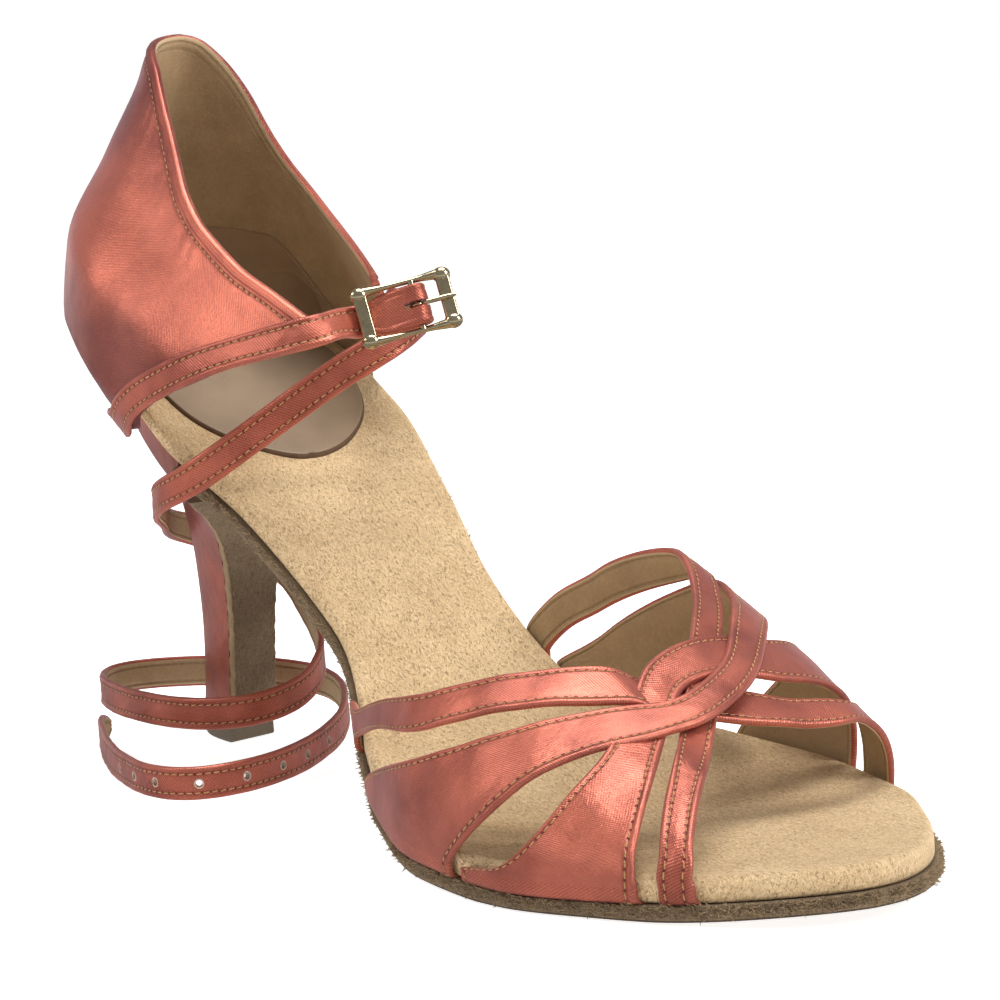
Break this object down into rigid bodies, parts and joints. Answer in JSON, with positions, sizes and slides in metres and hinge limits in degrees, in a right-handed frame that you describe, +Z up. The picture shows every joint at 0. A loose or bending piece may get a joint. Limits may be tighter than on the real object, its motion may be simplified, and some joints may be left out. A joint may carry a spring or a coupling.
{
  "type": "latin dance shoe",
  "caption": "Open satin latin dance sandal for the left foot, with crossed toe straps, a closed back, a long wrapping ankle strap with a buckle, a suede sole and a tall flared heel.",
  "frame": {"origin": "on the floor under the heel tip, on the tip's flat bottom face", "axes": "+X towards the toe, +Y towards the outer side of the left foot, +Z up"},
  "size_m": [0.227, 0.0838, 0.1351],
  "materials": {
    "satin": "coral satin",
    "insole_suede": "tan suede",
    "sole_suede": "grey brown suede",
    "sock_leather": "smooth beige",
    "tip_plastic": "hard plastic",
    "pale_gold": "polished pale gold"
  },
  "bodies": {
    "shoe": {"outsole": "sole_suede", "heel_breast_cover": "sole_suede", "heel": "satin", "heel_tip": "tip_plastic", "insole": "insole_suede", "heel_sock": "sock_leather", "heel_counter": "satin", "vamp_straps": "satin", "buckle_strap": "satin", "ankle_strap": "satin"},
    "frame": {"buckle_frame": "pale_gold"},
    "prong": {"buckle_prong": "pale_gold"}
  },
  "joints": [
    {"name": "frame_hinge", "type": "hinge", "parent": "shoe", "child": "frame", "pos_m": [0.0689, 0.0061, 0.0842], "axis": [-0.3023, -0.0636, 0.9511], "range_deg": [0, 70]},
    {"name": "prong_hinge", "type": "hinge", "parent": "frame", "child": "prong", "pos_m": [0.0689, 0.0061, 0.0842], "axis": [-0.3023, -0.0636, 0.9511], "range_deg": [-100, 0]}
  ]
}
